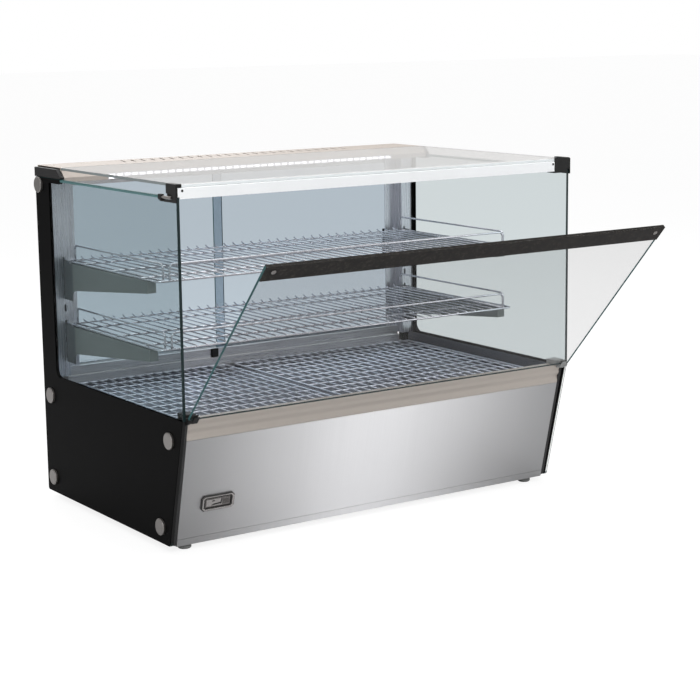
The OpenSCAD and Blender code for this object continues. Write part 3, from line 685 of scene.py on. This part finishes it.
def louvre_shade_sheet():
    """Dark folded sheet close under the louvres of the rear housing: painted shade, so that the louvres look
    dark inside.
    """
    lo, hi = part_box("top_housing")
    x0, x1, y0, y1, z1 = lo.x + 0.004, hi.x - 0.004, hi.y - 0.080, hi.y - 0.008, hi.z - 0.0055
    folds, fold_h, thick = 60, 0.0012, 0.001
    verts, faces = [], []
    for i in range(folds + 1):
        x = x0 + (x1 - x0) * i / folds
        z = z1 - fold_h * (i % 2)
        verts += [(x, y0, z), (x, y1, z), (x, y1, z - thick), (x, y0, z - thick)]
    for a in range(0, folds * 4, 4):
        faces += [(a + k, a + 4 + k, a + 4 + (k + 1) % 4, a + (k + 1) % 4) for k in range(4)]
    faces += [(0, 1, 2, 3), tuple(folds * 4 + k for k in reversed(range(4)))]
    make_piece("louvre_shade_sheet", verts, faces, "case", [M["plastic"]], smooth=False)


lip()
for side in ("left", "right"):
    edge_tint(side)
louvre_shade_sheet()


# ---------------------------------------------------------------- light strip
def rounded_box(lo, hi, c):
    """Box with corners chamfered by c and a domed front, facing -Y."""
    x0, y0, z0 = lo
    x1, y1, z1 = hi
    ring = [(x0 + c, z0), (x1 - c, z0), (x1, z0 + c), (x1, z1 - c),
            (x1 - c, z1), (x0 + c, z1), (x0, z1 - c), (x0, z0 + c)]
    mx, mz = (x0 + x1) / 2, (z0 + z1) / 2
    dome = 0.7
    verts = [(x, y1, z) for x, z in ring]
    verts += [(x, y0 + c, z) for x, z in ring]
    verts += [(mx + (x - mx) * dome, y0, mz + (z - mz) * dome) for x, z in ring]
    faces = [tuple(reversed(range(8))), tuple(range(16, 24))] + band(0, 8, 8) + band(8, 16, 8)
    return verts, [tuple(reversed(f)) for f in faces]


def leds():
    """Backing strip with a row of lit lenses."""
    lo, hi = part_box("led_strip")
    mid = (lo.y + hi.y) / 2
    count, half, inset = 41, 0.0062, 0.0012
    parts = [((lo.x, mid, lo.z), (hi.x, hi.y, hi.z), 0.0008, 0)]
    step = (hi.x - lo.x) / count
    for i in range(count):
        x = lo.x + step * (i + 0.5)
        parts.append(((x - half, lo.y, lo.z + inset), (x + half, mid + 0.0002, hi.z - inset), 0.0006, 1))
    verts, faces, index = [], [], []
    for low, high, chamfer, which in parts:
        v, f = rounded_box(low, high, chamfer)
        faces += [tuple(len(verts) + k for k in face) for face in f]
        verts += v
        index += [which] * len(f)
    make_piece("led_lamps", verts, faces, "case", [M["led_base"], M["led"]],
               ["led_strip"], False, index)


leds()


# ---------------------------------------------------------------- thermometer
def thermometer():
    """Framed panel thermometer; sizes in millimetres, across, up and out of the front panel."""
    lo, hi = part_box("thermometer_bezel")
    height = 76
    centre = at(0, panel_y(height), height)
    centre.x = (lo.x + hi.x) / 2

    def spot(x, z, depth):
        return centre + X_AXIS * (x * MM) + PANEL_UP * (z * MM) + LEANING * (depth * MM)

    def ring(w, h, c, depth):
        pts = [(w / 2 - c, h / 2), (w / 2, h / 2 - c), (w / 2, -h / 2 + c), (w / 2 - c, -h / 2),
               (-w / 2 + c, -h / 2), (-w / 2, -h / 2 + c), (-w / 2, h / 2 - c), (-w / 2 + c, h / 2)]
        return [spot(x, z, depth) for x, z in pts]

    layers = [(70, 31, 5, 0.15), (70, 31, 5, 3.2), (67, 28, 4.4, 4.9), (62, 24.5, 3.4, 4.9), (60, 23, 3, 4.2),
              (56, 20, 2.2, 3.9), (54.5, 18.6, 2, 1.5), (50, 15, 1, 1.4)]
    verts, faces = [], []
    for layer in layers:
        verts += ring(*layer)
    last = (len(layers) - 1) * 8
    for first in range(0, last, 8):
        faces += band(first, first + 8, 8)
    faces.append(tuple(reversed(range(8))))
    faces.append(tuple(range(last, last + 8)))
    # painted shade: the outer side wall and the inner ring of the frame take the near-black colour of the
    # dial marks
    painted_shade_tones = [1 if i in (0, 1, 4, 5, 6) else 0 for i in range(len(layers) - 1) for _ in range(8)] + [0, 0]
    obj = make_piece("thermometer_frame", verts, faces, "case", [M["bezel"], M["marks_and_painted_shade"]],
                     ["thermometer_bezel"], False, painted_shade_tones)
    soft = obj.modifiers.new("soft", "BEVEL")
    soft.width, soft.segments, soft.limit_method = 0.0004, 2, "ANGLE"
    # window plate, a scale field with marks and a row of bars
    verts, faces, index = [], [], []

    def slab(corners, d0, d1, mat):
        base = len(verts)
        verts.extend(spot(x, z, depth) for depth in (d0, d1) for x, z in corners)
        n = len(corners)
        faces.append(tuple(base + k for k in range(n)))
        faces.append(tuple(base + n + k for k in reversed(range(n))))
        index.extend([mat, mat])
        for k in range(n):
            k2 = (k + 1) % n
            faces.append((base + k, base + n + k, base + n + k2, base + k2))
            index.append(mat)

    slab([(-26.2, -8.6), (26.2, -8.6), (26.2, 8.6), (-26.2, 8.6)], 1.55, 2.2, 0)
    slab([(-24, -7), (9, -7), (9, 6.5), (-24, 6.5)], 2.2, 2.5, 1)
    slab([(-14, -5.5), (6, -4.2), (6, -1.6), (-8, -2.6)], 2.5, 2.9, 2)
    slab([(5.2, -5.2), (7.6, -4.8), (9.2, 5.6), (7.6, 6.2)], 2.5, 2.9, 2)
    slab([(-12, 2.2), (-7, 2.6), (-6.4, 4.4), (-11, 4.2)], 2.5, 2.8, 2)
    for k in range(6):
        x = 11.5 + k * 2.4
        slab([(x, -6), (x + 0.5, -6), (x + 0.5, 5 - k * 0.4), (x, 5 - k * 0.4)], 2.2, 2.45, 2)
    make_piece("thermometer_window", verts, faces, "case", [M["display"], M["bezel"], M["marks_and_painted_shade"]],
               ["thermometer_lens"], False, index)


thermometer()


# ---------------------------------------------------------------- screws
def screw(centre, out, radius, height, slot_w):
    """Pan head with a cross slot, built round its axis; returns vertices and faces."""
    u = out.orthogonal().normalized()
    v = out.cross(u)
    verts, faces = [], []
    profile = [(1.0, 0), (1.0, 0.35), (0.86, 0.75), (0.55, 0.95), (0.28, 1.0)]
    sides = 24
    for share, lift in profile:
        for k in range(sides):
            dx, dy = (part * share * radius for part in turned(k / sides))
            sink = 0.45 * height if min(abs(dx), abs(dy)) < slot_w and share < 0.8 else 0
            verts.append(Vector(centre) + u * dx + v * dy + out * (lift * height - sink))
    last = (len(profile) - 1) * sides
    for first in range(0, last, sides):
        faces += band(first, first + sides, sides)
    faces.append(tuple(last + k for k in range(sides)))
    faces.append(tuple(reversed(range(sides))))
    return verts, faces


def screws(name, body, mat, replaced, heads):
    verts, faces = [], []
    for v, f in heads:
        faces += [tuple(len(verts) + k for k in face) for face in f]
        verts += v
    make_piece(name, verts, faces, body, [mat], [replaced])


lo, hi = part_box("door_strip_screws")
radius = 0.0046
reach = (door_hi.z - pivot.z + 0.0025 * -math.sin(lean)) / math.cos(lean)  # pivot to upper edge
heads = []
for x in (lo.x + radius, hi.x - radius):
    centre = Vector((x, pivot.y, pivot.z)) + door_up * (reach - 0.013) - door_normal * 0.0046
    heads.append(screw(centre, -door_normal, radius, 0.0014, 0.0007))
screws("door_screw_heads", "front_door", M["nickel"], "door_strip_screws", heads)
lo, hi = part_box("rail_screws")
radius = 0.0023
heads = [screw((x, lo.y + 0.0003, (lo.z + hi.z) / 2), -Y_AXIS, radius, 0.0005, 0.0004)
         for x in (lo.x + radius, hi.x - radius)]
screws("rail_screw_heads", "case", M["plastic"], "rail_screws", heads)


# ---------------------------------------------------------------- thermostat knob
def knob():
    """Skirted knob with ridges round its grip and a pale pointer line."""
    lo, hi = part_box("thermostat_knob")
    cx, cz = (lo.x + hi.x) / 2, (lo.z + hi.z) / 2
    full, depth = (hi.x - lo.x) / 2, hi.y - lo.y
    verts, faces, index = [], [], []
    sides = 72
    profile = [(1.0, 0.0), (1.0, 0.16), (0.97, 0.22), (0.80, 0.23),
               (0.77, 0.27), (0.72, 0.93), (0.68, 1.0), (0.3, 1.0)]
    for i, (share, lift) in enumerate(profile):
        for k in range(sides):
            groove = 0.045 if 4 <= i <= 5 and k % 4 < 2 else 0
            r = full * share * (1 - groove)
            cosine, sine = turned(k / sides)
            verts.append((cx + sine * r, lo.y + depth * lift, cz + cosine * r))
    last = len(profile) - 1
    for i in range(last):
        for k in range(sides):
            k2 = (k + 1) % sides
            faces.append((i * sides + k, (i + 1) * sides + k, (i + 1) * sides + k2, i * sides + k2))
            index.append(1 if i in (5, 6) and k in (sides - 1, 0) else 0)
    faces.append(tuple(last * sides + k for k in range(sides)))
    faces.append(tuple(reversed(range(sides))))
    index += [0, 0]
    make_piece("ridged_knob", verts, faces, "thermostat", [M["plastic"], M["rail"]],
               ["thermostat_knob"], False, index)


knob()


# ---------------------------------------------------------------- floor, lights, camera
def seen_rays(tree, *kinds):
    """1 for camera rays and rays of the named kinds, 0 for plain reflections."""
    path = node(tree, "ShaderNodeLightPath")
    value = path.outputs["Is Camera Ray"]
    for kind in kinds:
        value = either_of(tree, value, path.outputs[kind])
    return value


def floor_material():
    """Pale matt floor that shows dimmer in reflections than to the eye."""
    mat, tree, bsdf = new_material("floor_pale")
    cloud = noise_at(tree, 0.8, detail=2)
    greys = [(0.3, (0.195, 0.195, 0.195)), (0.7, (0.20, 0.20, 0.20))]
    tree.links.new(ramp_of(tree, cloud, greys), bsdf.inputs["Base Color"])
    bsdf.inputs["Roughness"].default_value = 0.9
    bsdf.inputs["Specular IOR Level"].default_value = 0.1
    bsdf.inputs["Emission Color"].default_value = (1, 1, 1, 1)
    bsdf.inputs["Emission Strength"].default_value = 0.85
    dim = node(tree, "ShaderNodeBsdfDiffuse")
    dim.inputs["Color"].default_value = (0.7, 0.7, 0.71, 1)
    mixed_surface(tree, seen_rays(tree, "Is Transmission Ray", "Is Shadow Ray"), dim, bsdf)
    return mat


def add_floor():
    half = 30
    corners = [(-half, -half, 0), (half, -half, 0), (half, half, 0), (-half, half, 0)]
    mesh = bpy.data.meshes.new("floor")
    mesh.from_pydata(corners, [], [(0, 1, 2, 3)])
    mesh.materials.append(floor_material())
    floor = bpy.data.objects.new("floor", mesh)
    bpy.context.scene.collection.objects.link(floor)


def softbox(name, place, target, size, power):
    data = bpy.data.lights.new(name, "AREA")
    data.shape = "RECTANGLE"
    data.size, data.size_y = size
    data.energy = power
    lamp = bpy.data.objects.new(name, data)
    lamp.location = place
    lamp.rotation_mode = "QUATERNION"
    lamp.rotation_quaternion = (Vector(target) - Vector(place)).to_track_quat("-Z", "Y")
    bpy.context.scene.collection.objects.link(lamp)


def add_world():
    """White to the eye and through glass; a soft studio with a bright horizon in reflections."""
    world = bpy.data.worlds.new("studio")
    bpy.context.scene.world = world
    world.use_nodes = True
    tree = world.node_tree
    tree.nodes.clear()
    coords = node(tree, "ShaderNodeTexCoord")
    split = node(tree, "ShaderNodeSeparateXYZ")
    tree.links.new(coords.outputs["Generated"], split.inputs["Vector"])
    bands = [(0.0, (0.45, 0.45, 0.46)), (0.05, (0.97, 0.955, 0.94)), (0.28, (0.90, 0.89, 0.88)),
             (0.5, (0.50, 0.51, 0.54)), (0.8, (0.8, 0.8, 0.8))]
    studio = node(tree, "ShaderNodeBackground")
    studio.inputs["Strength"].default_value = 0.75
    tree.links.new(ramp_of(tree, split.outputs["Z"], bands), studio.inputs["Color"])
    white = node(tree, "ShaderNodeBackground")
    white.inputs["Color"].default_value = (1, 1, 1, 1)
    blend = node(tree, "ShaderNodeMixShader")
    tree.links.new(seen_rays(tree, "Is Transmission Ray"), blend.inputs["Fac"])
    tree.links.new(studio.outputs["Background"], blend.inputs[1])
    tree.links.new(white.outputs["Background"], blend.inputs[2])
    output = node(tree, "ShaderNodeOutputWorld")
    tree.links.new(blend.outputs["Shader"], output.inputs["Surface"])


def add_camera():
    """Camera at the photograph's place and angle."""
    data = bpy.data.cameras.new("camera")
    data.sensor_width = 36
    data.lens = 92.29
    data.clip_end = 200
    camera = bpy.data.objects.new("camera", data)
    bpy.context.scene.collection.objects.link(camera)
    azimuth, pitch, roll = math.radians(34.11), math.radians(10.46), -0.0123
    forward = Vector((math.sin(azimuth) * math.cos(pitch), math.cos(azimuth) * math.cos(pitch),
                      -math.sin(pitch)))
    level = Vector((math.cos(azimuth), -math.sin(azimuth), 0))
    upright = level.cross(forward)
    right = level * math.cos(roll) + upright * math.sin(roll)
    top = upright * math.cos(roll) - level * math.sin(roll)
    turn = Matrix((right, top, -forward)).transposed().to_4x4()
    camera.matrix_world = Matrix.Translation(at(-1503.5, -2754.0, 949.7)) @ turn
    bpy.context.scene.camera = camera


add_floor()
softbox("key_light", (-2.2, -2.6, 2.8), (0, 0, 0.3), (2.0, 1.6), 64)
softbox("fill_light", (2.8, -2.2, 1.8), (0, 0, 0.35), (1.6, 2.2), 34)
softbox("top_light", (0.2, 0.6, 3.2), (0, 0.1, 0.3), (2.4, 2.4), 50)
softbox("back_light", (0.6, 3.2, 1.9), (0, 0, 0.4), (2.4, 1.6), 25)
add_world()
add_camera()
bpy.context.scene.view_settings.view_transform = "Standard"
